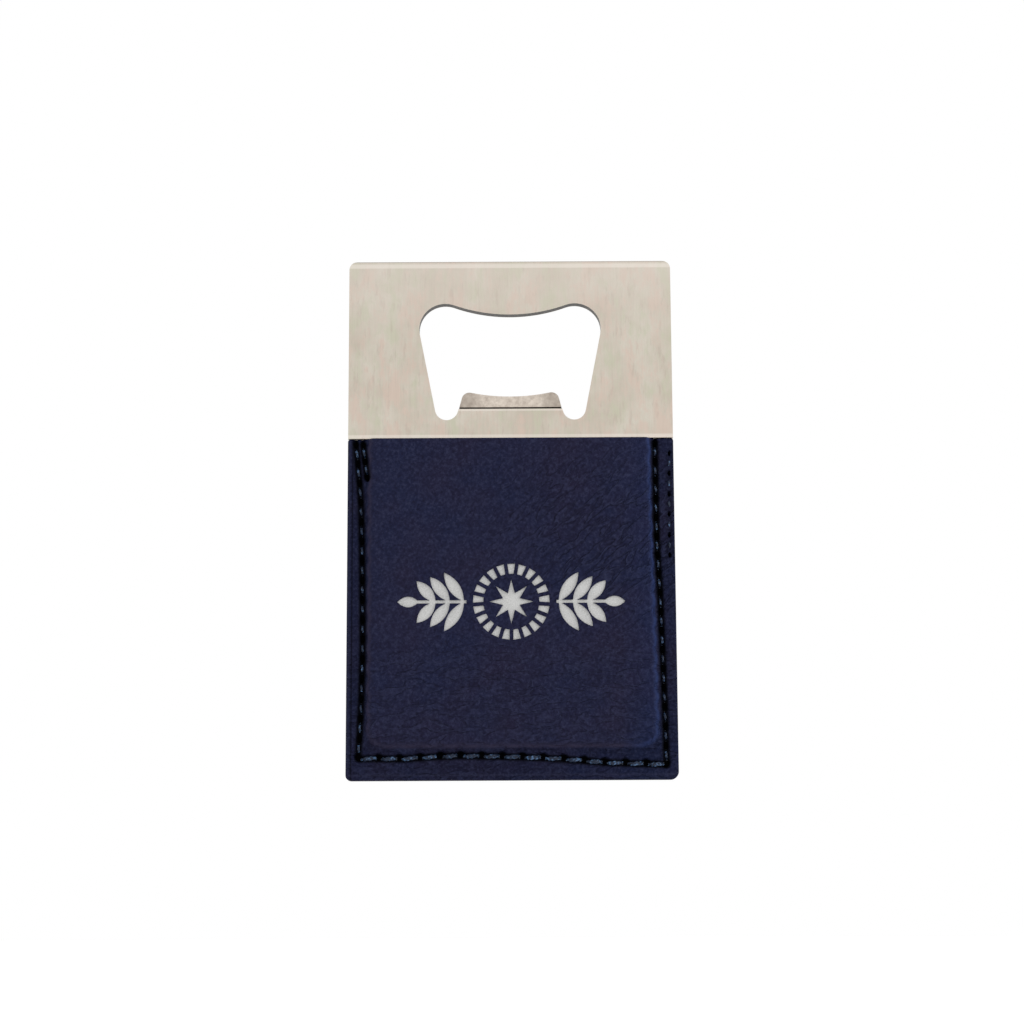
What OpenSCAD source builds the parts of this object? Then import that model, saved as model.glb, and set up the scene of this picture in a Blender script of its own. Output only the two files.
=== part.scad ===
// Pocket bottle opener: a flat steel opener plate whose narrow tongue is
// glued and sewn into a leatherette sleeve.
//
// Frame: +Z up (opener head at the top), +X to the right, front face towards -Y.
// The origin is the middle of the sleeve's bottom edge, on the plate's mid-plane.

/* [Plate] */
// Thickness of the steel plate
plate_t = 2; // [1.6:0.1:3]
// Width of the opener head
head_w = 54.3; // [50:0.1:54.4]
// Height of the top edge of the head
head_top = 87.4; // [86:0.1:89]
// Radius of the two upper corners of the head
head_corner_r = 1.3; // [0.5:0.1:3]
// Width of the tongue inside the sleeve
tongue_w = 44.6; // [42:0.1:44.6]
// Height of the lower end of the tongue
tongue_bottom = 6.4; // [6.4:0.1:10]
// Radius of the two lower corners of the tongue
tongue_corner_r = 2; // [1:0.5:5]

/* [Cap opening] */
// Lowest point of the curved upper edge, which rests on the cap
fulcrum_z = 78.2; // [77.4:0.1:78.8]
// Sideways place of the two upper lobes
lobe_x = 10.9; // [10:0.1:12]
// Height of the centres of the two upper lobes
lobe_z = 75.7; // [74.6:0.1:76.6]
// Radius of the two upper lobes
lobe_r = 4.4; // [3.5:0.1:4.6]
// Sideways place of the two slots beside the lifting tab
slot_x = 10.7; // [10.5:0.1:11]
// Height of the centres of the slots' round ends
slot_z = 61.95; // [61.2:0.05:62.2]
// Radius of the slots' round ends
slot_r = 1.95; // [1.5:0.05:2.05]
// Sideways place of the lifting tab's two corners
crest_x = 6.9; // [6:0.1:7]
// Height of the centres of the tab's corner arcs
crest_z = 63.6; // [63.4:0.1:63.8]
// Radius of the tab's corners
crest_r = 1.3; // [0.8:0.05:1.35]
// Lowest point of the tab's hollow lip
lip_z = 64.2; // [64:0.05:64.4]
// Height of the step where the tab gets thinner
step_z = 61.9; // [61.6:0.1:62.2]
// How far the tab's front face lies behind the plate's front face
step_depth = 0.9; // [0.4:0.1:1.2]
// Width of the relief groove at the foot of the step
groove_w = 0.46; // [0.2:0.02:0.6]
// Depth of the relief groove below the tab's face
groove_depth = 0.3; // [0.1:0.1:0.4]

/* [Sleeve] */
// Height of the sleeve's straight upper edge
sleeve_top = 56.8; // [56.4:0.05:57.2]
// Width of the sleeve
sleeve_w = 54.4; // [54.2:0.1:56]
// Radius of the lower left corner, seen from the front
left_corner_r = 0.9; // [0.5:0.1:3]
// Radius of the lower right corner, seen from the front
right_corner_r = 1.3; // [0.5:0.1:3]
// Thickness of the glue film on each side of the tongue
glue_t = 0.1; // [0.05:0.05:0.2]
// Thickness of the fabric backing of the leatherette
backing_t = 0.55; // [0.3:0.05:0.8]
// Thickness of the silver layer under the skin
silver_t = 0.1; // [0.05:0.05:0.2]
// Thickness of the navy skin
skin_t = 0.25; // [0.15:0.05:0.4]
// Width of the slope from the raised middle down to the sewn border
slope_w = 1.6; // [1.5:0.1:1.6]

/* [Seam] */
// Stitches down the left side
left_stitches = 16; // [12:1:20]
// Stitches along the bottom
bottom_stitches = 15; // [12:1:20]
// Stitches up the right side
right_stitches = 17; // [12:1:20]
// Radius of a needle hole
hole_r = 0.42; // [0.4:0.02:0.46]
// Radius of the thread where it lies on the surface
thread_r = 0.34; // [0.26:0.02:0.34]

/* [Engraving] */
// Height of the middle of the ornament
ornament_z = 29.2; // [25:0.1:35]
// Overall width of the ornament
ornament_w = 37.6; // [30:0.1:40]
// Diameter of the crown cap in the middle of the ornament
cap_d = 12.6; // [10:0.1:14]

/* [Hidden] */

panel_t = backing_t + silver_t + skin_t;  // one panel of leatherette
lift = plate_t / 2 + glue_t;              // rise of a panel over the tongue
shoulder_z = sleeve_top + 0.05;           // where the head steps in to the tongue
margin = 1;                               // overshoot of cutting bodies
chord = 0.45;                             // longest straight piece of an arc
fine_step = 10;                           // largest turn of one piece, in degrees
bore_fn = 24;
thread_fn = 8;                            // threads are eight-sided

// The seam wanders a little, as sewn by hand-guided machine. Sides: [height, sideways];
// bottom: [sideways, height].
left_seam = [[3.6, -25.15], [9, -24.85], [14, -24.65], [22, -24.5], [38, -24.7],
             [46, -24.95], [51, -25.35], [56, -25.85]];
bottom_seam = [[-25.15, 3.6], [-18, 3.5], [-10, 4], [0, 3.8], [7.5, 3.45],
               [15.5, 2.75], [25.2, 2.4]];
right_seam = [[2.4, 25.2], [10, 25.1], [20, 24.85], [30, 24.6], [38, 24.2],
              [44, 24.1], [56, 24.1]];
// Needle holes of the rows that lock the thread at the two open ends of the seam
left_lock = [[-24.25, 50.3], [-24.4, 53.1], [-24.6, 55.9]];
right_lock = [[26.5, 54.2], [26.4, 50.8], [26.35, 47.3], [26.3, 43.9],
              [26.3, 40.4], [26.3, 37]];

// ---------------------------------------------------------------- outlines
// An outline is a ring of circles, each [centre, radius], that a belt runs round
// anticlockwise. The belt passes outside a circle of positive radius and turns
// left; it passes the other side of a circle of negative radius and turns right.

function turn_between(from, to) =
    let (t = to - from - 360 * floor((to - from) / 360)) t > 359.99 ? 0 : t;

function heading(a, b) =
    let (d = b[0] - a[0], s = (a[1] - b[1]) / norm(d))
    atan2(d[1], d[0]) + asin(max(-1, min(1, s)));

function arc_points(circle, from, to) =
    let (
        r = circle[1],
        turn = r > 0 ? turn_between(from, to) : -turn_between(to, from),
        n = max(1, ceil(abs(turn) / fine_step), ceil(abs(turn * r) * PI / 180 / chord))
    )
    [for (i = [0:n]) let (h = from + turn * i / n) circle[0] + r * [sin(h), -cos(h)]];

function belt(circles) =
    let (n = len(circles))
    [for (i = [0:n - 1])
        let (
            into = heading(circles[(i + n - 1) % n], circles[i]),
            out = heading(circles[i], circles[(i + 1) % n])
        )
        each arc_points(circles[i], into, out)];

function without_repeats(points) =
    let (n = len(points))
    [for (i = [0:n - 1]) if (norm(points[i] - points[(i + 1) % n]) > 0.002) points[i]];

// Radius of a circle on the centre line that passes through height low and just
// touches the two circles of radius r at [+-x, z]
function bridge_r(low, x, z, r) =
    let (dz = low - z) (x * x + dz * dz - r * r) / (2 * (r - dz));

// A body standing on the front view: X across, Z up, thickness along Y
module stand_up(y_low, y_high) {
    translate([0, y_high, 0]) rotate([90, 0, 0])
        linear_extrude(height = y_high - y_low) children();
}

// ------------------------------------------------------------------- plate
module plate_outline() {
    x = head_w / 2;
    tx = tongue_w / 2;
    r = head_corner_r;
    tr = tongue_corner_r;
    right_side = concat(
        arc_points([[tx - tr, tongue_bottom + tr], tr], 0, 90),
        [[tx, shoulder_z], [x, shoulder_z]],
        arc_points([[x - r, head_top - r], r], 90, 180));
    mirrored = [for (i = [len(right_side) - 1:-1:0]) [-right_side[i][0], right_side[i][1]]];
    polygon(without_repeats(concat(right_side, mirrored)));
}

module cap_opening() {
    upper_r = bridge_r(fulcrum_z, lobe_x, lobe_z, lobe_r);
    lip_r = bridge_r(lip_z, crest_x, crest_z, crest_r);
    polygon(without_repeats(belt([
        [[lobe_x, lobe_z], lobe_r],
        [[0, fulcrum_z + upper_r], -upper_r],
        [[-lobe_x, lobe_z], lobe_r],
        [[-slot_x, slot_z], slot_r],
        [[-crest_x, crest_z], -crest_r],
        [[0, lip_z + lip_r], lip_r],
        [[crest_x, crest_z], -crest_r],
        [[slot_x, slot_z], slot_r]
    ])));
}

module opener_plate() {
    front = -plate_t / 2;
    color([0.81, 0.78, 0.73]) difference() {
        stand_up(-plate_t / 2, plate_t / 2) difference() {
            plate_outline();
            cap_opening();
        }
        translate([-slot_x, front - margin, step_z])
            cube([2 * slot_x, margin + step_depth, crest_z + crest_r + margin - step_z]);
        translate([-slot_x, front, step_z])
            cube([2 * slot_x, step_depth + groove_depth, groove_w]);
    }
}

// ------------------------------------------------------------------ sleeve
module sleeve_outline() {
    x = sleeve_w / 2;
    tip_r = 0.3;
    polygon(without_repeats(belt([
        [[x - right_corner_r, right_corner_r], right_corner_r],
        [[x - tip_r, sleeve_top - tip_r], tip_r],
        [[-x + tip_r, sleeve_top - tip_r], tip_r],
        [[-x + left_corner_r, left_corner_r], left_corner_r]
    ])));
}

// Rise of the slope at share u of its width, from 0 at the border to 1 inside
function rise(u) = (1 - cos(180 * u)) / 2;

// Everything from the mid-plane out to a surface that lies t out on the sewn border
// and t + lift out over the tongue. It grows towards +Y.
module swelling(t, below = 0) {
    inner_x = tongue_w / 2;
    outer_x = inner_x + slope_w;
    wide = sleeve_w / 2 + margin;
    steps = 8;
    slope = [for (i = [0:steps]) [outer_x - slope_w * i / steps, t + lift * rise(i / steps)]];
    back_slope = [for (i = [steps:-1:0]) [-slope[i][0], slope[i][1]]];
    low_slope = [for (i = [0:steps])
        [t + lift * rise(i / steps), tongue_bottom - slope_w * (1 - i / steps)]];
    intersection() {
        translate([0, 0, -margin]) linear_extrude(height = sleeve_top + 2 * margin)
            polygon(concat([[-wide, -below], [wide, -below], [wide, t]],
                           slope, back_slope, [[-wide, t]]));
        rotate([90, 0, 90]) linear_extrude(height = 2 * wide, center = true)
            polygon(concat([[-below, -margin], [t, -margin]], low_slope,
                           [[t + lift, sleeve_top + margin], [-below, sleeve_top + margin]]));
    }
}

module needle_holes() {
    for (p = seam)
        translate([p[0], margin + panel_t + lift, p[1]]) rotate([90, 0, 0])
            cylinder(r = hole_r, h = 2 * margin + panel_t + lift, $fn = bore_fn);
}

// One layer of a panel, between depths t0 and t1, growing towards +Y
module panel_layer(t0, t1) {
    difference() {
        intersection() {
            difference() {
                swelling(t1);
                swelling(t0, margin);
            }
            stand_up(-margin, panel_t + lift + margin) sleeve_outline();
        }
        needle_holes();
    }
}

module glue_film() {
    inset = 0.6;
    stand_up(plate_t / 2, plate_t / 2 + glue_t)
        translate([-tongue_w / 2 + inset, tongue_bottom + tongue_corner_r])
            square([tongue_w - 2 * inset,
                    sleeve_top - tongue_bottom - tongue_corner_r - inset]);
}

module backing() { panel_layer(0, backing_t); }
module silver_layer() { panel_layer(backing_t, backing_t + silver_t); }
module skin() { panel_layer(backing_t + silver_t, panel_t); }

module to_front() { mirror([0, 1, 0]) children(); }

// --------------------------------------------------------------- engraving
// A crown cap seen from above, between two leafy sprigs
module crown_cap() {
    teeth = 21;
    r = cap_d / 2;
    tooth_len = 1.7;
    gap = 0.6;
    outer = PI * r / teeth - gap / 2;
    inner = PI * (r - tooth_len) / teeth - gap / 2;
    for (i = [0:teeth - 1])
        rotate(360 * i / teeth)
            polygon([[-inner, r - tooth_len], [inner, r - tooth_len], [outer, r], [-outer, r]]);
    star(r - tooth_len - 0.9, 1.5);
}

module star(outer, inner) {
    points = 8;
    polygon([for (i = [0:2 * points - 1])
        let (a = 180 * i / points, q = i % 2 == 0 ? outer : inner) q * [sin(a), cos(a)]]);
}

// A leaf from the origin along +X
module leaf(length, width) {
    steps = 6;
    edge = [for (i = [0:2 * steps])
        let (u = i / steps - 1) [length * (1 + u) / 2, width / 2 * (1 - u * u)]];
    under = [for (i = [2 * steps - 1:-1:1]) [edge[i][0], -edge[i][1]]];
    polygon(concat(edge, under));
}

module sprig() {
    pairs = 3;
    start = cap_d / 2 + 1.1;
    stem_t = 0.55;
    tip_len = 3.6;
    tip_x = ornament_w / 2 - tip_len;
    translate([start, -stem_t / 2]) square([tip_x - start + tip_len / 4, stem_t]);
    translate([tip_x, 0]) leaf(tip_len, 1.8);
    for (i = [0:pairs - 1], side = [-1, 1])
        translate([start + 0.4 + i * (tip_x - start - 0.8) / pairs, 0])
            rotate(side * (56 - 4 * i)) leaf(5.9 - 0.6 * i, 1.9);
}

module ornament() {
    translate([0, ornament_z]) {
        crown_cap();
        sprig();
        mirror([1, 0]) sprig();
    }
}

// -------------------------------------------------------------------- seam
// Evenly spaced values between the first and last key of a seam table
function stations(line, count) =
    let (from = line[0][0], to = line[len(line) - 1][0])
    [for (i = [0:count]) from + (to - from) * i / count];

left_row = [for (z = stations(left_seam, left_stitches)) [lookup(z, left_seam), z]];
bottom_row = [for (x = stations(bottom_seam, bottom_stitches)) [x, lookup(x, bottom_seam)]];
right_row = [for (z = stations(right_seam, right_stitches)) [lookup(z, right_seam), z]];

// All needle holes in sewing order, each [sideways, height]
seam = concat(
    left_lock,
    [for (i = [left_stitches:-1:0]) left_row[i]],
    [for (i = [1:bottom_stitches]) bottom_row[i]],
    [for (i = [1:right_stitches]) right_row[i]],
    right_lock);

// The thread of one face. It lies on the panel from hole to hole and goes down in
// every hole to the mid-plane, where the two threads lock. side is -1 for the front.
module thread(side) {
    leg_r = hole_r - 0.06;
    lying = panel_t + 0.03 + thread_r;
    leg = lying + 0.1;
    for (p = seam)
        translate([p[0], side > 0 ? leg : 0, p[1]]) rotate([90, 0, 0])
            cylinder(r = leg_r, h = leg, $fn = thread_fn);
    for (i = [0:len(seam) - 2])
        translate([0, side * lying, 0]) lying_thread(seam[i], seam[i + 1]);
}

// The stretch of thread between holes a and b, a little short of both
module lying_thread(a, b) {
    run = norm(b - a) - 0.4;
    translate([(a[0] + b[0]) / 2, 0, (a[1] + b[1]) / 2])
        rotate([0, 90 - atan2(b[1] - a[1], b[0] - a[0]), 0])
            cylinder(r = thread_r, h = run, center = true, $fn = thread_fn);
}

// ------------------------------------------------------------------- nodes
navy = [0.14, 0.15, 0.24];
silver = [0.78, 0.78, 0.76];
charcoal = [0.1, 0.1, 0.12];
glue_white = [0.85, 0.84, 0.78];
thread_blue = [0.2, 0.3, 0.45];

module front_skin() {
    difference() {
        to_front() skin();
        stand_up(-panel_t - lift - margin, -lift) ornament();
    }
}

opener_plate();
color(glue_white) to_front() glue_film();  // front_glue_film
color(charcoal) to_front() backing();  // front_backing
color(silver) to_front() silver_layer();  // front_silver_layer
color(navy) front_skin();
color(glue_white) glue_film();  // back_glue_film
color(charcoal) backing();  // back_backing
color(silver) silver_layer();  // back_silver_layer
color(navy) skin();  // back_skin
color(thread_blue) thread(-1);  // needle_thread
color(thread_blue) thread(1);  // bobbin_thread
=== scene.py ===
"""Pocket bottle opener: leatherette, thread and steel detail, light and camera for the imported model.

Lengths are in millimetres until a mesh is made. X is to the right and Z is up; depth is counted
outwards from the steel plate's mid-plane, towards -Y on the front and towards +Y on the back.
"""

import math

import bpy
import numpy as np
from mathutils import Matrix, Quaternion, Vector
from mathutils.geometry import delaunay_2d_cdt


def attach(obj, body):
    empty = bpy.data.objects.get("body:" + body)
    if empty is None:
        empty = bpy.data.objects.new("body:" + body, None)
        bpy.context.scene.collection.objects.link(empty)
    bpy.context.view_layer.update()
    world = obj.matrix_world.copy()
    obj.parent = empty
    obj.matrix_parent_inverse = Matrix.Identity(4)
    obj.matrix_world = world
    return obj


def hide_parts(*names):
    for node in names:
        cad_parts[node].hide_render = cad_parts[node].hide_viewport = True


MM = 0.001
FRONT, BACK = -1, 1

# Plate and sleeve
PLATE_HALF_T = 1.0
SLEEVE_HALF_W = 27.2
SLEEVE_TOP = 56.8
PANEL_T = 0.9
SKIN_T = 0.25
LIFT = 1.1
SLOPE_W = 1.6
EDGE_R = 0.28
SLEEVE_CORNERS = [  # x, z, radius, anticlockwise
    (-SLEEVE_HALF_W, 0.0, 0.9),
    (SLEEVE_HALF_W, 0.0, 1.3),
    (SLEEVE_HALF_W, SLEEVE_TOP, 0.4),
    (-SLEEVE_HALF_W, SLEEVE_TOP, 0.4),
]
# The raised middle, where the leatherette bridges a little past the steel tongue. Its right-hand
# side is (height, sideways).
RAISED_LEFT = -22.9
RAISED_RIGHT = [(8, 23.2), (50, 22.45)]
RAISED_BOTTOM = 6.2
RAISED_CORNER_R = 2.0

# Seam: the sides are (height, sideways), the bottom is (sideways, height)
LEFT_SEAM = [(3.6, -25.15), (9, -24.85), (14, -24.65), (22, -24.5), (38, -24.7),
             (46, -24.95), (51, -25.35), (56, -25.85)]
BOTTOM_SEAM = [(-25.15, 3.6), (-18, 3.5), (-10, 4), (0, 3.8), (7.5, 3.45), (15.5, 2.75),
               (25.2, 2.4)]
RIGHT_SEAM = [(2.4, 25.2), (10, 25.1), (20, 24.85), (30, 24.6), (38, 24.2), (44, 24.1),
              (56, 24.1)]
LEFT_LOCK = [(-23.9, 50.3), (-24.3, 53.1), (-24.65, 55.9)]
RIGHT_LOCK = [(26.5, 54.2), (26.4, 50.8), (26.35, 47.3), (26.3, 43.9), (26.3, 40.4), (26.3, 37)]
LEFT_STITCHES, BOTTOM_STITCHES, RIGHT_STITCHES = 16, 15, 17

# Ornament
ORNAMENT_Z = 29.2
ORNAMENT_W = 37.6
CAP_R = 6.3

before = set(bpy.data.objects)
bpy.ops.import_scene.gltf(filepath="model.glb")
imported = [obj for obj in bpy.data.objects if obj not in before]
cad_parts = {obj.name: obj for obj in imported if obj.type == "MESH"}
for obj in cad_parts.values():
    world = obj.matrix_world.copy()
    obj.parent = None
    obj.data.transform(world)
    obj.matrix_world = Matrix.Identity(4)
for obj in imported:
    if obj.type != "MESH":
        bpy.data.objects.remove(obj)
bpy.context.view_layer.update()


# ------------------------------------------------------------------ outlines
def rounded_loop(corners, spacing):
    """Points and outward normals round a convex outline of (x, z, radius) corners."""
    points, normals = [], []
    count = len(corners)
    spots = [np.array(c[:2], float) for c in corners]
    for i, (_, _, radius) in enumerate(corners):
        here, before, after = spots[i], spots[i - 1], spots[(i + 1) % count]
        into = (here - before) / np.linalg.norm(here - before)
        out = (after - here) / np.linalg.norm(after - here)
        turn = math.atan2(into[0] * out[1] - into[1] * out[0], float(np.dot(into, out)))
        tangent = radius * math.tan(turn / 2)
        start_normal = np.array([into[1], -into[0]])
        centre = here - into * tangent - start_normal * radius
        steps = max(4, math.ceil(radius * turn / spacing))
        for k in range(steps + 1):
            angle = turn * k / steps
            normal = np.array([
                start_normal[0] * math.cos(angle) - start_normal[1] * math.sin(angle),
                start_normal[0] * math.sin(angle) + start_normal[1] * math.cos(angle),
            ])
            points.append(centre + normal * radius)
            normals.append(normal)
        last, goal = points[-1], after - out * corners[(i + 1) % count][2]
        run = float(np.dot(goal - last, out))
        pieces = max(1, round(run / spacing))
        for k in range(1, pieces):
            points.append(last + out * run * k / pieces)
            normals.append(normals[-1])
    return np.array(points), np.array(normals)


def circle_of_teeth():
    """The crown cap's teeth, as in the CAD model."""
    teeth, tooth_len, gap = 21, 1.7, 0.6
    outer = math.pi * CAP_R / teeth - gap / 2
    inner = math.pi * (CAP_R - tooth_len) / teeth - gap / 2
    tooth = [(-inner, CAP_R - tooth_len), (inner, CAP_R - tooth_len), (outer, CAP_R), (-outer, CAP_R)]
    return [turned(tooth, 360 * i / teeth) for i in range(teeth)]


def star():
    points, outer, inner = 8, CAP_R - 2.6, 1.5
    corners = []
    for i in range(2 * points):
        angle = math.pi * i / points
        reach = outer if i % 2 == 0 else inner
        corners.append((reach * math.sin(angle), reach * math.cos(angle)))
    return corners[::-1]


def leaf(length, width):
    steps = 6
    shares = [i / steps - 1 for i in range(2 * steps + 1)]
    over = [(length * (1 + u) / 2, width / 2 * (1 - u * u)) for u in shares]
    under = [(x, -z) for x, z in over[1:-1]]
    return under + over[::-1]


def turned(points, degrees):
    c, s = math.cos(math.radians(degrees)), math.sin(math.radians(degrees))
    return [(c * x - s * z, s * x + c * z) for x, z in points]


def moved(points, dx, dz=0.0):
    return [(x + dx, z + dz) for x, z in points]


def sprig():
    """The overlapping shapes of the right-hand sprig."""
    pairs, start, stem_t, tip_len = 3, CAP_R + 1.1, 0.55, 3.6
    tip_x = ORNAMENT_W / 2 - tip_len
    stem_end = tip_x + tip_len / 4
    half = stem_t / 2
    shapes = [
        [(start, -half), (stem_end, -half), (stem_end, half), (start, half)],
        moved(leaf(tip_len, 1.8), tip_x),
    ]
    for i in range(pairs):
        root = start + 0.4 + i * (tip_x - start - 0.8) / pairs
        for side in (-1, 1):
            shapes.append(moved(turned(leaf(5.9 - 0.6 * i, 1.9), side * (56 - 4 * i)), root))
    return shapes


def ornament():
    shapes = circle_of_teeth() + [star()]
    for shape in sprig():
        shapes.append(shape)
        shapes.append([(-x, z) for x, z in shape][::-1])
    return [moved(shape, 0.0, ORNAMENT_Z) for shape in shapes]


# ---------------------------------------------------------------------- seam
def stations(line, count):
    return np.linspace(line[0][0], line[-1][0], count + 1)


def seam_rows():
    """The needle holes of the two locking rows and of the main seam."""
    left = [(np.interp(z, *zip(*LEFT_SEAM)), z) for z in stations(LEFT_SEAM, LEFT_STITCHES)]
    bottom = [(x, np.interp(x, *zip(*BOTTOM_SEAM))) for x in stations(BOTTOM_SEAM, BOTTOM_STITCHES)]
    right = [(np.interp(z, *zip(*RIGHT_SEAM)), z) for z in stations(RIGHT_SEAM, RIGHT_STITCHES)]
    return [np.array(LEFT_LOCK), np.array(left[::-1] + bottom[1:] + right[1:]), np.array(RIGHT_LOCK)]


def row_headings(row):
    """The seam's direction at each hole of a row."""
    heading = np.gradient(row, axis=0)
    return heading / np.linalg.norm(heading, axis=1)[:, None]


ROWS = seam_rows()
HOLES = np.vstack(ROWS)
HEADINGS = np.vstack([row_headings(row) for row in ROWS])
STARTS = np.vstack([row[:-1] for row in ROWS])
ENDS = np.vstack([row[1:] for row in ROWS])
# The locking row at the right-hand edge is sewn loosely, so it hardly sinks in
HOLE_PULL = np.concatenate([np.full(len(row), pull) for row, pull in zip(ROWS, (1.0, 1.0, 0.55))])
STITCH_PULL = np.concatenate([np.full(len(row) - 1, pull) for row, pull in zip(ROWS, (1.0, 1.0, 0.4))])


def seam_relation(points):
    """Distance of each point from the seam, its place along the nearest stitch from 0 to 1, and
    how hard that stitch pulls."""
    along = ENDS - STARTS
    offset = points[:, None, :] - STARTS[None]
    share = np.clip((offset * along[None]).sum(2) / (along ** 2).sum(1), 0, 1)
    gap = np.linalg.norm(offset - share[..., None] * along[None], axis=2)
    nearest = gap.argmin(1)
    rows = np.arange(len(points))
    return gap[rows, nearest], share[rows, nearest], STITCH_PULL[nearest]


def hole_pits(points):
    """Depth share, from 0 to 1, of the slot that the thread pulls open round each needle hole."""
    level = np.abs(HEADINGS[:, 0])
    half_long = 0.9 * HOLE_PULL
    half_wide = (0.4 + 0.3 * level) * HOLE_PULL
    offset = points[:, None, :] - HOLES[None]
    offset[..., 1] -= 0.25 * level
    lengthways = (offset * HEADINGS[None]).sum(2)
    sideways = offset[..., 0] * HEADINGS[None, :, 1] - offset[..., 1] * HEADINGS[None, :, 0]
    reach = np.hypot(lengthways / half_long[None], sideways / half_wide[None]).min(1)
    return 1 - smooth((reach - 0.6) / 0.5)


def smooth(share):
    share = np.clip(share, 0, 1)
    return share * share * (3 - 2 * share)


# -------------------------------------------------------------- leatherette
def rise(points, drawn_in=0.0):
    """Share of the lift over the tongue, from 0 on the border to 1 inside."""
    right = np.interp(points[:, 1], *zip(*RAISED_RIGHT))
    beside = np.maximum(points[:, 0] - right, RAISED_LEFT - points[:, 0]) + RAISED_CORNER_R
    below = RAISED_BOTTOM + RAISED_CORNER_R - points[:, 1]
    beyond = np.hypot(np.maximum(beside, 0), np.maximum(below, 0)) - RAISED_CORNER_R + drawn_in
    share = 1 - np.clip(beyond / SLOPE_W, 0, 1)
    return (1 - np.cos(math.pi * share)) / 2


def panel_rise(points):
    """The rise of the sewn panel, whose slope is drawn in a little at every stitch."""
    gap, share, _ = seam_relation(points)
    return rise(points, 0.16 * np.cos(2 * math.pi * share) * np.exp(-(gap / 2.6) ** 2))


def panel_depth(points):
    """Distance of the panel's outer surface from the mid-plane."""
    gap, _, pull = seam_relation(points)
    groove = 0.26 * pull * np.exp(-(gap / 0.6) ** 2)
    pits = 0.8 * hole_pits(points)
    return PANEL_T + LIFT * panel_rise(points) - groove - pits


def seam_shade(points):
    """How dark the leatherette looks: 1 in a needle hole, less in the groove and on the border."""
    gap, _, pull = seam_relation(points)
    groove = 0.93 * pull * smooth((0.95 - gap) / 0.6)
    border = 0.13 * (1 - rise(points))
    return np.maximum(np.maximum(hole_pits(points), groove), border)


def painted_slope_highlight(points):
    """1 along the upper part of the slope, where a highlight is painted, and 0 elsewhere."""
    return np.exp(-((panel_rise(points) - 0.66) / 0.25) ** 2)


def panel_seat(points):
    """Distance of the panel's inner surface from the mid-plane."""
    return 0.03 + (PLATE_HALF_T + 0.01) * rise(points)


def grid(low, high, spacing):
    """Points of a triangular grid."""
    rows = np.arange(low[1], high[1], spacing * math.sqrt(0.75))
    points = []
    for k, z in enumerate(rows):
        x = np.arange(low[0] + (k % 2) * spacing / 2, high[0], spacing)
        points.append(np.column_stack([x, np.full(len(x), z)]))
    return np.vstack(points)


def far_from(points, others, distance):
    keep = np.ones(len(points), bool)
    for part in np.array_split(np.arange(len(points)), 40):
        gaps = np.linalg.norm(points[part][:, None] - others[None], axis=2)
        keep[part] = gaps.min(1) > distance
    return points[keep]


def inside_loop(points, loop, normals, margin):
    keep = np.ones(len(points), bool)
    for part in np.array_split(np.arange(len(points)), 40):
        gaps = points[part][:, None] - loop[None]
        nearest = (gaps ** 2).sum(2).argmin(1)
        offset = points[part] - loop[nearest]
        keep[part] = (offset * normals[nearest]).sum(1) < -margin
    return points[keep]


def panel_points(loop, normals, cuts):
    """Free points inside the panel, close together along the seam."""
    low, high = loop.min(0), loop.max(0)
    coarse = grid(low, high, 0.5)
    fine = grid(low, high, 0.17)
    reach = 1.15
    coarse = coarse[seam_relation(coarse)[0] > reach]
    fine = fine[seam_relation(fine)[0] <= reach]
    points = inside_loop(np.vstack([coarse, fine]), loop, normals, 0.12)
    if cuts:
        points = far_from(points, np.vstack(cuts), 0.12)
    return points


def split_long(loop, longest):
    """A closed loop with its long sides divided."""
    points = []
    for a, b in zip(loop, loop[1:] + loop[:1]):
        parts = max(1, math.ceil(math.dist(a, b) / longest))
        for k in range(parts):
            points.append((a[0] + (b[0] - a[0]) * k / parts, a[1] + (b[1] - a[1]) * k / parts))
    return points


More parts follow.
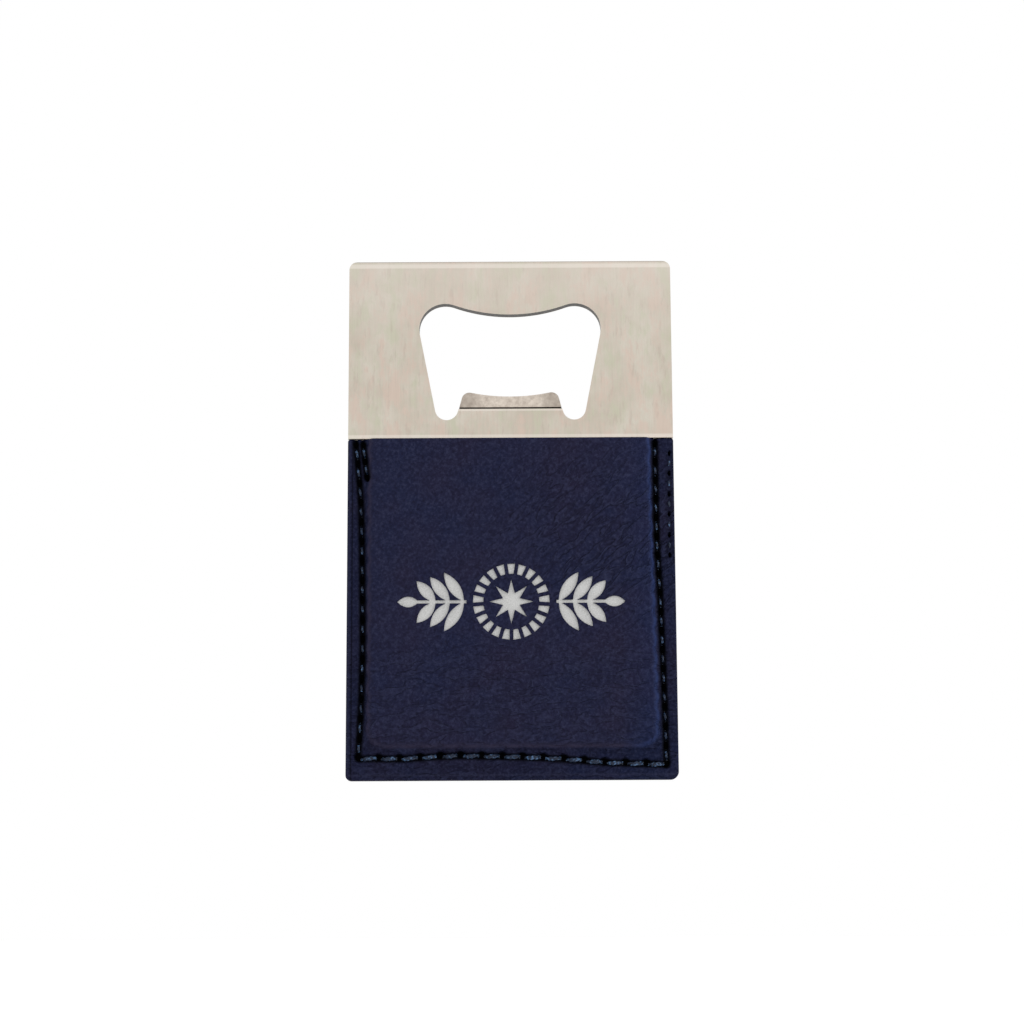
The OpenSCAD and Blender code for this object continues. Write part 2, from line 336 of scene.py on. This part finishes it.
def make_panel(name, side, cuts):
    """One leatherette panel: its outer surface, rolled edges and the windows cut through it."""
    outline, normals = rounded_loop(SLEEVE_CORNERS, 0.3)
    loop = outline - normals * EDGE_R
    cuts = [split_long(cut, 0.4) for cut in cuts]
    free = panel_points(loop, normals, cuts)
    flat = [tuple(p) for p in loop] + [p for cut in cuts for p in cut] + [tuple(p) for p in free]
    rings_in, first = [list(range(len(loop)))], len(loop)
    for cut in cuts:
        rings_in.append(list(range(first, first + len(cut))))
        first += len(cut)
    found, _, triangles, origin, _, owners = delaunay_2d_cdt(
        [Vector(p) for p in flat], [], rings_in, 0, 1e-4, True)
    points = np.array([tuple(p) for p in found])
    depth = panel_depth(points)
    faces = [list(t) for t, owner in zip(triangles, owners) if owner == [0] or owner == (0,)]
    place = {o: i for i, originals in enumerate(origin) for o in originals}
    edge_ring = [place[i] for i in range(len(loop))]

    verts = [(p[0], side * d, p[1]) for p, d in zip(points, depth)]
    loop_depth = panel_depth(loop)
    seat = panel_seat(loop)
    profile = []
    for k in range(1, 6):
        angle = math.pi / 2 * k / 5
        profile.append((EDGE_R * math.sin(angle), loop_depth - EDGE_R * (1 - math.cos(angle))))
    for k in range(4):
        angle = math.pi / 2 * k / 3
        inner_r = 0.12
        profile.append((EDGE_R - inner_r * (1 - math.cos(angle)),
                        seat + inner_r * (1 - math.sin(angle))))
    previous = edge_ring
    for outset, ring_depth in profile:
        ring = range(len(verts), len(verts) + len(loop))
        spots = loop + normals * outset
        verts += [(p[0], side * d, p[1]) for p, d in zip(spots, ring_depth)]
        faces += bridged(previous, ring)
        previous = ring

    walls = window_walls(faces, verts, set(edge_ring), side) if cuts else []
    if side == BACK:
        faces = [face[::-1] for face in faces]
        walls = [face[::-1] for face in walls]
    panel = make_piece(name, verts, faces + walls, first_wall=len(faces))
    flat_spots = np.array([(x, z) for x, _, z in verts])
    for title, values in (("seam_shade", seam_shade), ("painted_slope_highlight", painted_slope_highlight)):
        attribute = panel.data.attributes.new(title, "FLOAT", "POINT")
        attribute.data.foreach_set("value", values(flat_spots))
    return panel


def bridged(inner, outer):
    """Quads between two rings of the same length."""
    count = len(inner)
    return [[inner[i], outer[i], outer[(i + 1) % count], inner[(i + 1) % count]]
            for i in range(count)]


def window_walls(faces, verts, edge_ring, side):
    """Walls down to the silver layer from every open edge that isn't the panel's own edge."""
    used = {}
    for face in faces:
        for a, b in zip(face, face[1:] + face[:1]):
            used[(a, b)] = True
    open_edges = [(a, b) for a, b in used if (b, a) not in used]
    floor = PANEL_T + LIFT - SKIN_T - 0.02
    lower, walls = {}, []
    for a, b in open_edges:
        if abs(verts[a][2] - ORNAMENT_Z) > CAP_R + 1 or abs(verts[a][0]) > ORNAMENT_W / 2 + 1:
            continue
        for spot in (a, b):
            if spot not in lower:
                lower[spot] = len(verts)
                verts.append((verts[spot][0], side * floor, verts[spot][2]))
        walls.append([b, a, lower[a], lower[b]])
    return walls


def make_piece(name, verts, faces, first_wall=None):
    mesh = bpy.data.meshes.new(name)
    mesh.from_pydata([(x * MM, y * MM, z * MM) for x, y, z in verts], [], faces)
    mesh.update()
    mesh.shade_smooth()
    mesh.set_sharp_from_angle(angle=math.radians(48))
    if first_wall is not None:
        for polygon in mesh.polygons[first_wall:]:
            polygon.material_index = 1
    piece = bpy.data.objects.new(name, mesh)
    bpy.context.scene.collection.objects.link(piece)
    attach(piece, "root")
    return piece


# -------------------------------------------------------------------- thread
def make_thread(name, side):
    """Three twisted plies per stitch, which dive into the needle holes at both ends."""
    plies, rings, spokes = 3, 20, 8
    turns_per_mm = 0.42
    verts, faces = [], []
    for number, (a, b) in enumerate(zip(STARTS, ENDS)):
        run = b - a
        length = float(np.linalg.norm(run))
        along = run / length
        across = np.array([along[1], -along[0]])
        level = abs(along[0])
        ply_r = 0.105 + 0.085 * level
        twist_r = 0.1 + 0.08 * level
        inset = 0.24 - 0.1 * level
        share = np.linspace(inset, 1 - inset, rings)
        arch = np.sin(math.pi * (share - inset) / (1 - 2 * inset)) ** 0.7
        slant = 0.13 * np.cos(math.pi * share)
        middle = a + run * share[:, None] + across * slant[:, None]
        rest = PANEL_T + LIFT * rise(middle) - 0.26
        depth = rest - 0.85 + 1.05 * arch
        phase = number * 1.7
        for ply in range(plies):
            twist = phase + 2 * math.pi * (ply / plies + turns_per_mm * length * share)
            centre = np.column_stack([
                middle[:, 0] + across[0] * twist_r * np.cos(twist),
                side * (depth + twist_r * np.sin(twist)),
                middle[:, 1] + across[1] * twist_r * np.cos(twist),
            ])
            add_tube(verts, faces, centre, ply_r, spokes)
    return make_piece(name, verts, faces)


def add_tube(verts, faces, centre, radius, spokes):
    """A closed round tube along centre, narrowed at both ends."""
    heading = np.gradient(centre, axis=0)
    heading /= np.linalg.norm(heading, axis=1)[:, None]
    reference = np.cross(heading, [0.0, 1.0, 0.0])
    reference /= np.linalg.norm(reference, axis=1)[:, None]
    third = np.cross(heading, reference)
    first = len(verts)
    rings = len(centre)
    for k in range(rings):
        size = radius * (0.7 if k in (0, rings - 1) else 1.0)
        for j in range(spokes):
            angle = 2 * math.pi * j / spokes
            spot = centre[k] + size * (reference[k] * math.cos(angle) + third[k] * math.sin(angle))
            verts.append(tuple(spot))
    for k in range(rings - 1):
        for j in range(spokes):
            here, beside = first + k * spokes + j, first + k * spokes + (j + 1) % spokes
            faces.append([here, beside, beside + spokes, here + spokes])
    faces.append(list(range(first + spokes - 1, first - 1, -1)))
    faces.append(list(range(first + (rings - 1) * spokes, first + rings * spokes)))


def make_silver_sheet(name, side):
    """The silver layer where it lies flat over the tongue."""
    corners = [(-21.6, 7.4, 1.5), (21.6, 7.4, 1.5), (21.6, SLEEVE_TOP - 0.6, 0.5),
               (-21.6, SLEEVE_TOP - 0.6, 0.5)]
    loop, _ = rounded_loop(corners, 1.5)
    outer, inner = PANEL_T + LIFT - SKIN_T, PANEL_T + LIFT - SKIN_T - 0.1
    count = len(loop)
    verts = [(x, side * outer, z) for x, z in loop] + [(x, side * inner, z) for x, z in loop]
    top, under = list(range(count)), list(range(count, 2 * count))
    faces = [top, under[::-1]] + bridged(top, under)
    if side == BACK:
        faces = [face[::-1] for face in faces]
    return make_piece(name, verts, faces)


# ----------------------------------------------------------------- materials
def new_material(name):
    material = bpy.data.materials.new(name)
    material.use_nodes = True
    return material, material.node_tree, material.node_tree.nodes["Principled BSDF"]


def node(tree, kind, inputs=None, **settings):
    made = tree.nodes.new("ShaderNode" + kind)
    for key, value in settings.items():
        setattr(made, key, value)
    for key, value in (inputs or {}).items():
        if isinstance(value, bpy.types.NodeSocket):
            tree.links.new(value, made.inputs[key])
        else:
            made.inputs[key].default_value = value
    return made


def place_map(tree, scale=(1.0, 1.0, 1.0), turn=0.0):
    """Object coordinates, turned in the front view by turn degrees and then stretched."""
    place = node(tree, "TexCoord").outputs["Object"]
    rotation = (0.0, math.radians(turn), 0.0)
    turned_place = node(tree, "Mapping", {"Vector": place, "Rotation": rotation}).outputs[0]
    return node(tree, "Mapping", {"Vector": turned_place, "Scale": scale}).outputs[0]


def noise(tree, vector, scale, detail=3.0, roughness=0.5, distortion=0.0, kind="FBM"):
    made = node(tree, "TexNoise", {"Vector": vector, "Scale": scale, "Detail": detail,
                                   "Roughness": roughness, "Distortion": distortion})
    made.noise_type = kind
    return made.outputs["Fac"]


def remap(tree, value, low, high, to_low=0.0, to_high=1.0):
    return node(tree, "MapRange", {"Value": value, "From Min": low, "From Max": high,
                                   "To Min": to_low, "To Max": to_high}).outputs[0]


def math_node(tree, operation, a, b):
    return node(tree, "Math", {0: a, 1: b}, operation=operation).outputs[0]


def mixed(tree, share, a, b, blend="MIX"):
    made = node(tree, "Mix", data_type="RGBA", blend_type=blend)
    for index, value in ((0, share), (6, a), (7, b)):
        if isinstance(value, bpy.types.NodeSocket):
            tree.links.new(value, made.inputs[index])
        else:
            made.inputs[index].default_value = value
    return made.outputs[2]


def bump(tree, height, distance, strength=1.0, normal=None):
    inputs = {"Height": height, "Distance": distance, "Strength": strength}
    if normal is not None:
        inputs["Normal"] = normal
    return node(tree, "Bump", inputs).outputs[0]


def within(tree, value, low, high, blur):
    """1 where value lies between low and high, with soft ends."""
    rising = remap(tree, value, low - blur, low + blur)
    falling = remap(tree, value, high - blur, high + blur, 1.0, 0.0)
    return math_node(tree, "MULTIPLY", rising, falling)


def brushed_colour(tree, plain, streaks, dashes):
    """Warm grey steel with faint red and green tints, drawn out along the brushing."""
    shadow, body = (0.655, 0.585, 0.49, 1), (0.735, 0.68, 0.585, 1)
    red_tint, green_tint = (0.75, 0.60, 0.51, 1), (0.63, 0.63, 0.48, 1)
    streak_tone, dash_tone = (0.48, 0.42, 0.36, 1), (0.52, 0.43, 0.36, 1)
    blotches = noise(tree, plain, 120.0, 4.0, 0.6)
    tint = noise(tree, place_map(tree, (1.0, 1.0, 0.45)), 340.0, 4.0, 0.7)
    colour = mixed(tree, remap(tree, blotches, 0.38, 0.62), shadow, body)
    colour = mixed(tree, remap(tree, tint, 0.5, 0.62, 0.0, 0.7), colour, red_tint)
    colour = mixed(tree, remap(tree, tint, 0.48, 0.36, 0.0, 0.7), colour, green_tint)
    colour = mixed(tree, remap(tree, streaks, 0.3, 0.75, 0.0, 0.18), colour, streak_tone)
    return mixed(tree, remap(tree, dashes, 0.56, 0.72, 0.0, 0.4), colour, dash_tone)


def tab_mottle_and_end_shade(tree, plain, across):
    """The set-back face of the lip: mottled, with painted shade darkening it towards both ends."""
    dull, bright, end_shade_tone = (0.56, 0.48, 0.41, 1), (0.86, 0.77, 0.67, 1), (0.20, 0.16, 0.13, 1)
    mottle = noise(tree, plain, 1100.0, 3.0, 0.65)
    worn = mixed(tree, remap(tree, mottle, 0.3, 0.7), dull, bright)
    middle = within(tree, across, -0.0056, 0.0056, 0.0012)
    return mixed(tree, remap(tree, middle, 0.0, 1.0, 0.4, 0.0), worn, end_shade_tone)


def steel_material():
    """Brushed steel whose marks are placed by height, width and depth on the plate, in metres."""
    top_highlight_tone, band_highlight_tone = (0.85, 0.77, 0.69, 1), (0.97, 0.90, 0.82, 1)
    wall_shade_low, wall_shade_high = (0.22, 0.19, 0.165, 1), (0.040, 0.034, 0.029, 1)
    groove_shade_tone, rim_tone = (0.02, 0.017, 0.015, 1), (0.20, 0.16, 0.13, 1)
    material, tree, shader = new_material("brushed_steel")
    plain = place_map(tree)
    scratches = noise(tree, place_map(tree, (1.0, 1.0, 0.05)), 9000.0, 2.0, 0.6)
    streaks = noise(tree, place_map(tree, (1.0, 1.0, 0.06)), 2600.0, 3.0, 0.6)
    dashes = noise(tree, place_map(tree, (1.0, 1.0, 0.22)), 1300.0, 3.0, 0.65)
    axes = node(tree, "SeparateXYZ", {"Vector": plain}).outputs
    across, depth, height = axes[0], axes[1], axes[2]
    colour = brushed_colour(tree, plain, streaks, dashes)
    # Painted highlight: the plate is painted paler towards its top.
    colour = mixed(tree, remap(tree, height, 0.073, 0.0855, 0.0, 0.35), colour, top_highlight_tone)

    # Inside the cap opening: painted shade on its walls, the set-back lip with painted shade towards
    # its ends, and a painted shade line in the groove under it
    opening = math_node(tree, "MULTIPLY", within(tree, height, 0.0594, 0.0806, 0.0001),
                        within(tree, across, -0.016, 0.016, 0.0001))
    beside_slots = within(tree, across, -0.0095, 0.0095, 0.0001)
    tab = math_node(tree, "MULTIPLY", within(tree, height, 0.0622, 0.0656, 0.00004),
                    within(tree, depth, -0.00015, -0.00005, 0.00001))
    tab = math_node(tree, "MULTIPLY", tab, beside_slots)
    wall = math_node(tree, "MULTIPLY", opening, within(tree, depth, -0.00092, 0.00092, 0.00003))
    wall = math_node(tree, "SUBTRACT", wall, tab)
    # Painted shade on the opening's walls, darkest on the upper wall.
    wall_shade_colour = mixed(tree, remap(tree, height, 0.0645, 0.0745), wall_shade_low, wall_shade_high)
    colour = mixed(tree, wall, colour, wall_shade_colour)
    colour = mixed(tree, tab, colour, tab_mottle_and_end_shade(tree, plain, across))
    groove = math_node(tree, "MULTIPLY", within(tree, height, 0.0619, 0.06236, 0.00001),
                       within(tree, depth, -0.0009, 0.0004, 0.00001))
    groove = math_node(tree, "MULTIPLY", groove, beside_slots)
    # Painted shade: a near-black line in the groove at the foot of the lip.
    colour = mixed(tree, groove, colour, groove_shade_tone)

    # Painted highlights as pale bands under the groove, above the sleeve and below the rim, and the
    # darker rim itself
    groove_lip_highlight = math_node(tree, "MULTIPLY", within(tree, height, 0.06155, 0.06185, 0.00006),
                             within(tree, depth, -0.0011, -0.0009, 0.00002))
    groove_lip_highlight = math_node(tree, "MULTIPLY", groove_lip_highlight, beside_slots)
    highlight_bands = math_node(tree, "MAXIMUM", within(tree, height, 0.0863, 0.0870, 0.0001),
                      within(tree, height, 0.0569, 0.0575, 0.0001))
    highlight_bands = math_node(tree, "MAXIMUM", highlight_bands, groove_lip_highlight)
    colour = mixed(tree, math_node(tree, "MULTIPLY", highlight_bands, 0.5), colour, band_highlight_tone)
    colour = mixed(tree, remap(tree, height, 0.08725, 0.0874, 0.0, 0.75), colour, rim_tone)

    tree.links.new(colour, shader.inputs["Base Color"])
    shader.inputs["Metallic"].default_value = 1.0
    tree.links.new(remap(tree, streaks, 0.3, 0.7, 0.34, 0.48), shader.inputs["Roughness"])
    fine = bump(tree, scratches, 0.000012)
    tree.links.new(bump(tree, dashes, 0.00001, normal=fine), shader.inputs["Normal"])
    return material


def contour(tree, field, level, width):
    """1 where a field is at level, falling to 0 at width either side of it."""
    offset = math_node(tree, "ABSOLUTE", math_node(tree, "SUBTRACT", field, level), 0.0)
    return remap(tree, offset, 0.0, width, 1.0, 0.0)


def creases(tree, vector, scale, share):
    """Thin wandering creases and the ridges beside them, up to share strong."""
    crease_level, ridge_level, line_width = 0.49, 0.56, 0.05
    field = noise(tree, vector, scale, 2.5, 0.5, 0.4)
    sunken = math_node(tree, "MULTIPLY", contour(tree, field, crease_level, line_width), share)
    raised = math_node(tree, "MULTIPLY", contour(tree, field, ridge_level, line_width), share)
    return sunken, raised


def leather_material():
    """Navy leatherette: slanted creases at the upper right, level ones low down, with painted
    highlights on their ridges and painted shade in them, and painted highlights on the slopes.
    """
    violet, blue = (0.0130, 0.0118, 0.0330, 1), (0.0084, 0.0124, 0.0400, 1)
    grain_light, grain_dark = (0.028, 0.032, 0.070, 1), (0.005, 0.005, 0.016, 1)
    ridge_highlight_tone, crease_shade_tone = (0.030, 0.035, 0.080, 1), (0.003, 0.003, 0.010, 1)
    edge_line_tone, rolled_edge_highlight_tone = (0.001, 0.001, 0.004, 1), (0.035, 0.038, 0.075, 1)
    left_slope_highlight, right_slope_highlight = (0.034, 0.030, 0.060, 1), (0.024, 0.038, 0.115, 1)
    seam_tone = (0.0005, 0.0005, 0.001, 1)
    material, tree, shader = new_material("navy_leatherette")
    plain = place_map(tree)
    patches = noise(tree, plain, 75.0, 3.0, 0.6)
    speckle = noise(tree, plain, 2200.0, 3.0, 0.7)
    axes = node(tree, "SeparateXYZ", {"Vector": plain}).outputs
    across, height = axes[0], axes[2]

    upper_right = math_node(tree, "MULTIPLY", remap(tree, across, -0.010, 0.010),
                            within(tree, height, 0.027, 0.051, 0.006))
    slanted = creases(tree, place_map(tree, (0.3, 1.0, 1.0), 42.0), 760.0,
                      remap(tree, upper_right, 0.0, 1.0, 0.25, 1.0))
    level = creases(tree, place_map(tree, (0.4, 1.0, 1.0), 6.0), 640.0,
                    remap(tree, height, 0.026, 0.018, 0.15, 0.75))
    sunken = math_node(tree, "MAXIMUM", slanted[0], level[0])
    raised = math_node(tree, "MAXIMUM", slanted[1], level[1])

    colour = mixed(tree, remap(tree, patches, 0.38, 0.62), violet, blue)
    colour = mixed(tree, remap(tree, speckle, 0.5, 0.68, 0.0, 0.8), colour, grain_light)
    colour = mixed(tree, remap(tree, speckle, 0.5, 0.3, 0.0, 0.8), colour, grain_dark)
    # Painted highlight along each crease's ridge and painted shade in the crease.
    colour = mixed(tree, math_node(tree, "MULTIPLY", raised, 0.45), colour, ridge_highlight_tone)
    colour = mixed(tree, math_node(tree, "MULTIPLY", sunken, 0.42), colour, crease_shade_tone)
    edge_line = within(tree, across, -0.02645, -0.02625, 0.00010)
    colour = mixed(tree, math_node(tree, "MULTIPLY", edge_line, 0.8), colour, edge_line_tone)
    # Painted highlight along the rolled bottom edge and the strip at the left edge.
    rolled_edge_highlight = math_node(tree, "MAXIMUM", within(tree, height, 0.0007, 0.0010, 0.00012),
                          remap(tree, across, -0.0266, -0.0268))
    colour = mixed(tree, math_node(tree, "MULTIPLY", rolled_edge_highlight, 0.3), colour, rolled_edge_highlight_tone)
    # Painted highlight on the upper part of the slopes, bluer on the right.
    slope_highlight_share = node(tree, "Attribute", attribute_name="painted_slope_highlight").outputs["Fac"]
    slope_highlight_colour = mixed(tree, remap(tree, across, 0.018, 0.022), left_slope_highlight, right_slope_highlight)
    colour = mixed(tree, math_node(tree, "MULTIPLY", slope_highlight_share, 0.9), colour, slope_highlight_colour)
    shade = node(tree, "Attribute", attribute_name="seam_shade").outputs["Fac"]
    colour = mixed(tree, shade, colour, seam_tone)
    tree.links.new(colour, shader.inputs["Base Color"])
    roughness = remap(tree, speckle, 0.3, 0.7, 0.42, 0.6)
    roughness = math_node(tree, "MAXIMUM", roughness, remap(tree, shade, 0.5, 1.0, 0.4, 0.95))
    tree.links.new(roughness, shader.inputs["Roughness"])
    shader.inputs["Specular IOR Level"].default_value = 0.04

    pebbles = node(tree, "TexVoronoi", {"Vector": plain, "Scale": 1300.0, "Smoothness": 0.6},
                   feature="SMOOTH_F1").outputs["Distance"]
    normal = bump(tree, pebbles, 0.00018)
    normal = bump(tree, speckle, 0.0001, 1.0, normal)
    relief = math_node(tree, "SUBTRACT", raised, sunken)
    normal = bump(tree, relief, 0.00012, 1.0, normal)
    tree.links.new(normal, shader.inputs["Normal"])
    return material


def singed_material():
    material, tree, shader = new_material("singed_cut")
    soot = noise(tree, place_map(tree), 4000.0, 2.0)
    tree.links.new(mixed(tree, soot, (0.006, 0.006, 0.010, 1), (0.02, 0.018, 0.022, 1)),
                   shader.inputs["Base Color"])
    shader.inputs["Roughness"].default_value = 0.85
    shader.inputs["Specular IOR Level"].default_value = 0.1
    return material


def silver_material():
    material, tree, shader = new_material("silver_core")
    plain = place_map(tree)
    speckle = noise(tree, plain, 5200.0, 2.0, 0.7)
    cloud = noise(tree, plain, 420.0, 2.0, 0.5)
    colour = mixed(tree, remap(tree, speckle, 0.3, 0.7), (0.40, 0.40, 0.395, 1), (0.68, 0.68, 0.67, 1))
    colour = mixed(tree, remap(tree, cloud, 0.3, 0.7, 0.0, 0.35), colour, (0.70, 0.70, 0.69, 1))
    tree.links.new(colour, shader.inputs["Base Color"])
    shader.inputs["Metallic"].default_value = 0.35
    shader.inputs["Roughness"].default_value = 0.55
    tree.links.new(bump(tree, speckle, 0.00003, 0.6), shader.inputs["Normal"])
    return material


def thread_material(name, dark, middle, light):
    """Dark blue fibre with pale flecks where the twist catches the light."""
    material, tree, shader = new_material(name)
    plain = place_map(tree)
    fibres = noise(tree, plain, 5200.0, 2.0, 0.7)
    flecks = noise(tree, plain, 2000.0, 2.0, 0.6)
    colour = mixed(tree, remap(tree, fibres, 0.3, 0.7), dark, middle)
    colour = mixed(tree, remap(tree, flecks, 0.54, 0.64), colour, light)
    tree.links.new(colour, shader.inputs["Base Color"])
    shader.inputs["Roughness"].default_value = 0.4
    shader.inputs["Specular IOR Level"].default_value = 0.45
    tree.links.new(bump(tree, fibres, 0.00005), shader.inputs["Normal"])
    return material


def plain_material(name, low, high, scale, roughness):
    """Two close tones in a fine noise, for the inner layers."""
    material, tree, shader = new_material(name)
    grain = noise(tree, place_map(tree), scale, 3.0, 0.6)
    tree.links.new(mixed(tree, grain, low, high), shader.inputs["Base Color"])
    shader.inputs["Roughness"].default_value = roughness
    tree.links.new(bump(tree, grain, 0.00003, 0.5), shader.inputs["Normal"])
    return material


def wear(piece, *materials):
    piece.data.materials.clear()
    for material in materials:
        piece.data.materials.append(material)


# --------------------------------------------------------------------- steel
def finish_plate(plate, material):
    """Rounded edges on the plate: soft round the outside, tighter in the opening."""
    wear(plate, material)
    plate.data.shade_smooth()
    outside = plate.vertex_groups.new(name="outside")
    opening = plate.vertex_groups.new(name="opening")
    for vertex in plate.data.vertices:
        x, y, z = (c / MM for c in vertex.co)
        if z > 87 or (z > 56.5 and abs(x) > 24):
            outside.add([vertex.index], 1.0, "REPLACE")
        elif z > 59 and not (61.7 < z < 62.5 and y < 0.3):
            opening.add([vertex.index], 1.0, "REPLACE")
    flatten = plate.modifiers.new("flatten", "DECIMATE")
    flatten.decimate_type = "DISSOLVE"
    flatten.angle_limit = math.radians(1.0)
    for group, width in (("outside", 0.42), ("opening", 0.16)):
        rounding = plate.modifiers.new("round_" + group, "BEVEL")
        rounding.limit_method = "VGROUP"
        rounding.vertex_group = group
        rounding.width = width * MM
        rounding.segments = 4
        rounding.use_clamp_overlap = False
    normals = plate.modifiers.new("even_normals", "WEIGHTED_NORMAL")
    normals.keep_sharp = True


# --------------------------------------------------------------------- stage
def make_stage():
    """A floor some way below the object, since the camera looks up at it from under its base."""
    mesh = bpy.data.meshes.new("floor")
    radius, drop, corners = 3.0, 0.06, 64
    angles = [2 * math.pi * k / corners for k in range(corners)]
    rim = [(radius * math.cos(angle), radius * math.sin(angle), -drop) for angle in angles]
    mesh.from_pydata(rim, [], [list(range(corners))])
    floor = bpy.data.objects.new("floor", mesh)
    bpy.context.scene.collection.objects.link(floor)
    material, tree, shader = new_material("pale_floor")
    shader.inputs["Base Color"].default_value = (0.9, 0.9, 0.9, 1)
    shader.inputs["Emission Color"].default_value = (1.0, 1.0, 1.0, 1)
    seen = node(tree, "LightPath").outputs["Is Camera Ray"]
    tree.links.new(remap(tree, seen, 0.0, 1.0, 0.0, 0.65), shader.inputs["Emission Strength"])
    shader.inputs["Roughness"].default_value = 0.9
    shader.inputs["Specular IOR Level"].default_value = 0.1
    floor.data.materials.append(material)


def area_light(name, place, target, size, watts, colour=(1.0, 1.0, 1.0)):
    data = bpy.data.lights.new(name, "AREA")
    data.shape = "RECTANGLE"
    data.size, data.size_y = size
    data.energy = watts
    data.color = colour
    light = bpy.data.objects.new(name, data)
    light.location = place
    light.rotation_mode = "QUATERNION"
    light.rotation_quaternion = (Vector(target) - Vector(place)).to_track_quat("-Z", "Y")
    bpy.context.scene.collection.objects.link(light)


def make_lights():
    """A white surround, dimmer as a light than as a background, and two soft lights."""
    world = bpy.data.worlds.new("studio")
    world.use_nodes = True
    tree = world.node_tree
    seen = node(tree, "LightPath").outputs["Is Camera Ray"]
    background = tree.nodes["Background"]
    background.inputs["Color"].default_value = (1.0, 1.0, 1.0, 1)
    tree.links.new(remap(tree, seen, 0.0, 1.0, 0.86, 1.0), background.inputs["Strength"])
    bpy.context.scene.world = world
    middle = (0.0, 0.0, 0.043)
    area_light("key", (1.0, -0.45, 0.5), middle, (0.6, 0.6), 4.5)
    area_light("rim", (-0.4, 0.9, 0.6), middle, (0.6, 0.6), 2.5)


def make_camera():
    """A front view from ten degrees below, whose frame is 170.7 mm wide at the object."""
    lens, sensor, view_w = 80.0, 36.0, 0.17067
    distance = view_w / 2 * lens / (sensor / 2)
    look_up = math.radians(9.96)
    roll = math.radians(-0.28)
    aim = Vector((0.00018, 0.0, 0.0445))
    line_of_sight = Vector((0.0, math.cos(look_up), math.sin(look_up)))
    data = bpy.data.cameras.new("camera")
    data.lens = lens
    data.sensor_width = sensor
    data.clip_start = 0.01
    data.clip_end = 20.0
    camera = bpy.data.objects.new("camera", data)
    camera.location = aim - line_of_sight * distance
    camera.rotation_mode = "QUATERNION"
    camera.rotation_quaternion = (line_of_sight.to_track_quat("-Z", "Y")
                                  @ Quaternion((0.0, 0.0, 1.0), roll))
    bpy.context.scene.collection.objects.link(camera)
    bpy.context.scene.camera = camera


# ------------------------------------------------------------------ the model
leather = leather_material()
thread = thread_material("thread_fibre", (0.001, 0.004, 0.012, 1), (0.006, 0.020, 0.060, 1),
                         (0.07, 0.14, 0.27, 1))

front = make_panel("front_leatherette", FRONT, ornament())
wear(front, leather, singed_material())
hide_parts("front_skin", "front_backing")
back = make_panel("back_leatherette", BACK, [])
wear(back, leather)
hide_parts("back_skin", "back_backing")

silver = silver_material()
for side, node_name in ((FRONT, "front_silver_layer"), (BACK, "back_silver_layer")):
    sheet = make_silver_sheet(node_name + "_sheet", side)
    wear(sheet, silver)
    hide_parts(node_name)

for side, node_name in ((FRONT, "needle_thread"), (BACK, "bobbin_thread")):
    strand = make_thread(node_name + "_strand", side)
    wear(strand, thread)
    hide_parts(node_name)

finish_plate(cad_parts["opener_plate"], steel_material())
glue = plain_material("dried_glue", (0.5, 0.48, 0.4, 1), (0.7, 0.68, 0.58, 1), 900.0, 0.5)
for node_name in ("front_glue_film", "back_glue_film"):
    wear(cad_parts[node_name], glue)

make_stage()
make_lights()
make_camera()
bpy.context.scene.view_settings.view_transform = "Standard"
